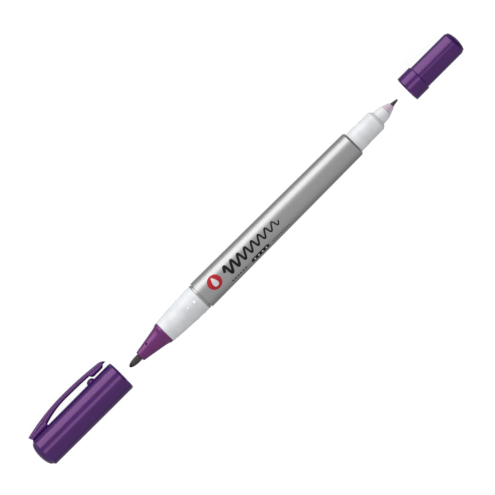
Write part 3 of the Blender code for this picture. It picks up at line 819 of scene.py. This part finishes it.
COLLAR = 0.00566
SMALL_RADIUS = 0.00489
SMALL_DOME = 0.00235
DOME_POWER = 0.93
SEAT_RADIUS = 0.00408
RIM_BORE = 0.0042
FLAT_HEIGHT = 0.00443
FACE_CROWN = 0.007
RIDGE_RADIUS = 0.00463
RIDGE_SOFTNESS = 0.00002
FLATS = 6


def face_radius(angle):
    """Radius of the six-sided section at an angle from the middle of one of its crowned faces."""
    offset = FACE_CROWN - FLAT_HEIGHT
    crowned = math.sqrt(FACE_CROWN**2 - (offset * math.sin(angle)) ** 2) - offset * math.cos(angle)
    over = (crowned - RIDGE_RADIUS) / RIDGE_SOFTNESS
    return crowned - RIDGE_SOFTNESS * math.log1p(math.exp(over))


def flatten_sides(bm):
    """Press six long faces into the cap's outside beyond its collar."""
    for vert in bm.verts:
        radius = math.hypot(vert.co.y, vert.co.z)
        outside = min(max((radius - 0.0041) / 0.0002, 0), 1)
        ramp = min(max((vert.co.x - COLLAR) / 0.00035, 0), 1)
        angle = math.atan2(vert.co.z, vert.co.y) % (2 * math.pi / FLATS) - math.pi / FLATS
        depth = (1 - face_radius(angle) / SMALL_RADIUS) * outside * math.sin(math.pi / 2 * ramp)
        vert.co.y *= 1 - depth
        vert.co.z *= 1 - depth


def small_cap_shell():
    length = SMALL_HIGH.x - SMALL_LOW.x
    dome = []
    for angle in spaced(0, math.pi / 2, 24)[:-1]:
        along = math.sin(angle) ** DOME_POWER * SMALL_DOME
        dome.append((length - SMALL_DOME + along, SMALL_RADIUS * math.cos(angle) ** DOME_POWER, 0))
    corners = [
        (0.0223, 0, 0),
        (0.0223, 0.0039, 0.0003),
        (0.0113, 0.0039, 0),
        (0.0113, SEAT_RADIUS, 0),
        (COLLAR, SEAT_RADIUS, 0),
        (COLLAR, RIM_BORE, 0),
        (0, RIM_BORE, 0.0001),
        (0, SMALL_RADIUS, 0.0002),
    ]
    corners += curve(COLLAR - 0.0001, COLLAR + 0.0006, 14, lambda x: SMALL_RADIUS)
    corners += [*dome, (length, 0, 0)]
    bm = turned(corners, 288)
    flatten_sides(bm)
    finish_piece("small_cap_body", bm, SMALL, "small_cap", CAP_PURPLE, ["small_cap_shell"])


# ---------------------------------------------------------------- hidden pieces


def dress_reservoir():
    """The reservoir and its film keep their CAD shape."""
    for node, material in (("ink_reservoir", RESERVOIR), ("reservoir_film", FILM)):
        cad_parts[node].material_slots[0].material = material


# ---------------------------------------------------------------- studio


TOWARD_CAMERA = Vector((0, -math.sin(CLIP_DROP), math.cos(CLIP_DROP)))
TOWARD_CLIP = Vector((0, -math.cos(CLIP_DROP), -math.sin(CLIP_DROP)))
LENS = 300.0
SENSOR = 36.0
VIEW_WIDTH = 0.1699
VIEW_TILT = math.radians(44.98)
TENT_BELOW = 0.34
TENT_ABOVE = 0.68
TENT_DARK_END = 0.06
TENT_DARK_SIDE = 0.65
LIT_BY_FILL = ("cap_tube", "cap_end_plug", "cap_clip", "cap_clip_catch", "small_cap_body", "grip_snap_beads")


def camera():
    """Square to the pen's axis and to the clip, rolled so that the fine end points up right."""
    data = bpy.data.cameras.new("camera")
    data.lens = LENS
    data.sensor_width = SENSOR
    made = bpy.data.objects.new("camera", data)
    bpy.context.scene.collection.objects.link(made)
    toward_fine = Vector((-1, 0, 0))
    right = toward_fine * math.cos(VIEW_TILT) - TOWARD_CLIP * math.sin(VIEW_TILT)
    up = toward_fine * math.sin(VIEW_TILT) + TOWARD_CLIP * math.cos(VIEW_TILT)
    place = Matrix((right, up, TOWARD_CAMERA)).transposed().to_4x4()
    aim = Vector((0, AXIS_Y, AXIS_Z)) + toward_fine * -0.00012 + TOWARD_CLIP * 0.00043
    place.translation = aim + TOWARD_CAMERA * VIEW_WIDTH * LENS / SENSOR
    made.matrix_world = place
    bpy.context.scene.camera = made


def floor():
    """A plain pale light table. It doesn't colour the pen's reflections."""
    bm = bmesh.new()
    bmesh.ops.create_grid(bm, x_segments=1, y_segments=1, size=3.0)
    mesh = bpy.data.meshes.new("floor")
    bm.to_mesh(mesh)
    bm.free()
    table = bpy.data.objects.new("floor", mesh)
    bpy.context.scene.collection.objects.link(table)
    table.location.z = cad_bounds[0].z
    surface = Surface("pale_floor", Roughness=0.9)
    surface.shader.inputs["Specular IOR Level"].default_value = 0.0
    surface.colours(surface.noise(0.05, 2), (0.0, (0.13, 0.13, 0.13)), (1.0, (0.14, 0.14, 0.14)))
    surface.shader.inputs["Emission Color"].default_value = (1, 1, 1, 1)
    surface.shader.inputs["Emission Strength"].default_value = 0.94
    mesh.materials.append(surface.material)
    table.visible_glossy = False
    table.visible_diffuse = False
    table.visible_transmission = False
    table.visible_shadow = False


def softbox(name, direction, distance, width, height, watts):
    """A soft rectangular lamp, its width along the pen, facing the pen."""
    data = bpy.data.lights.new(name, "AREA")
    data.shape = "RECTANGLE"
    data.size = width
    data.size_y = height
    data.energy = watts
    lamp = bpy.data.objects.new(name, data)
    bpy.context.scene.collection.objects.link(lamp)
    lamp.location = Vector((0, AXIS_Y, AXIS_Z)) + direction.normalized() * distance
    back = direction.normalized()
    across = Vector((1, 0, 0))
    lamp.matrix_world = Matrix.Translation(lamp.location) @ Matrix(
        (across, back.cross(across), back)
    ).transposed().to_4x4()
    lamp.visible_camera = False
    return lamp


def studio_light():
    """A long softbox low on the clip's side, one on the camera's side that lights only the caps
    and the beads, and a tent brightest overhead, darker beyond the fine end and opposite the clip."""
    world = bpy.data.worlds.new("studio")
    bpy.context.scene.world = world
    world.use_nodes = True
    nodes, links = world.node_tree.nodes, world.node_tree.links
    direction = nodes.new("ShaderNodeSeparateXYZ")
    links.new(nodes.new("ShaderNodeTexCoord").outputs["Generated"], direction.inputs["Vector"])

    def fade(axis, start, end, low, high=1.0):
        """Brightness that goes from low to high as the direction's axis goes from start to end."""
        ramp = nodes.new("ShaderNodeMapRange")
        links.new(direction.outputs[axis], ramp.inputs["Value"])
        for socket, value in (("From Min", start), ("From Max", end), ("To Min", low), ("To Max", high)):
            ramp.inputs[socket].default_value = value
        return ramp

    height = fade("Z", -1, 1, TENT_BELOW, TENT_ABOVE)
    beyond_end = fade("X", -0.97, -0.55, TENT_DARK_END)
    far_side = fade("Y", 1.0, 0.75, TENT_DARK_SIDE)
    beyond_end.interpolation_type = far_side.interpolation_type = "SMOOTHSTEP"
    strength = height.outputs["Result"]
    for ramp in (beyond_end, far_side):
        product = nodes.new("ShaderNodeMath")
        product.operation = "MULTIPLY"
        links.new(strength, product.inputs[0])
        links.new(ramp.outputs["Result"], product.inputs[1])
        strength = product.outputs["Value"]
    links.new(strength, nodes["Background"].inputs["Strength"])
    nodes["Background"].inputs["Color"].default_value = (1, 1, 1, 1)
    bpy.context.scene.view_settings.view_transform = "Standard"
    softbox("key", Vector((0, -1, -0.08)), distance=0.45, width=0.5, height=0.41, watts=1.48)
    camera_side = TOWARD_CAMERA - TOWARD_CLIP * 0.01
    fill = softbox("fill", camera_side, distance=0.5, width=0.5, height=0.16, watts=0.46)
    lit = bpy.data.collections.new("lit_by_fill")
    for name in LIT_BY_FILL:
        lit.objects.link(bpy.data.objects[name])
    fill.light_linking.receiver_collection = lit


barrel()
barrel_print()
bold_grip()
snap_beads()
nose_cone()
bold_nib()
fine_neck()
fine_tip()
big_cap_shell()
big_cap_plug()
clip()
seal_cup(
    "cap_seal_cup",
    mouth=0.0186,
    end=0.0364,
    mouth_radius=0.00475,
    end_radius=0.0036,
    wall=0.00055,
    place=BIG,
    body="big_cap",
    node="big_cap_inner_cap",
)
small_cap_shell()
seal_cup(
    "small_cap_seal_cup",
    mouth=0.012,
    end=0.022,
    mouth_radius=0.0036,
    end_radius=0.0036,
    wall=0.00063,
    place=SMALL,
    body="small_cap",
    node="small_cap_inner_cap",
)
dress_reservoir()
camera()
floor()
studio_light()
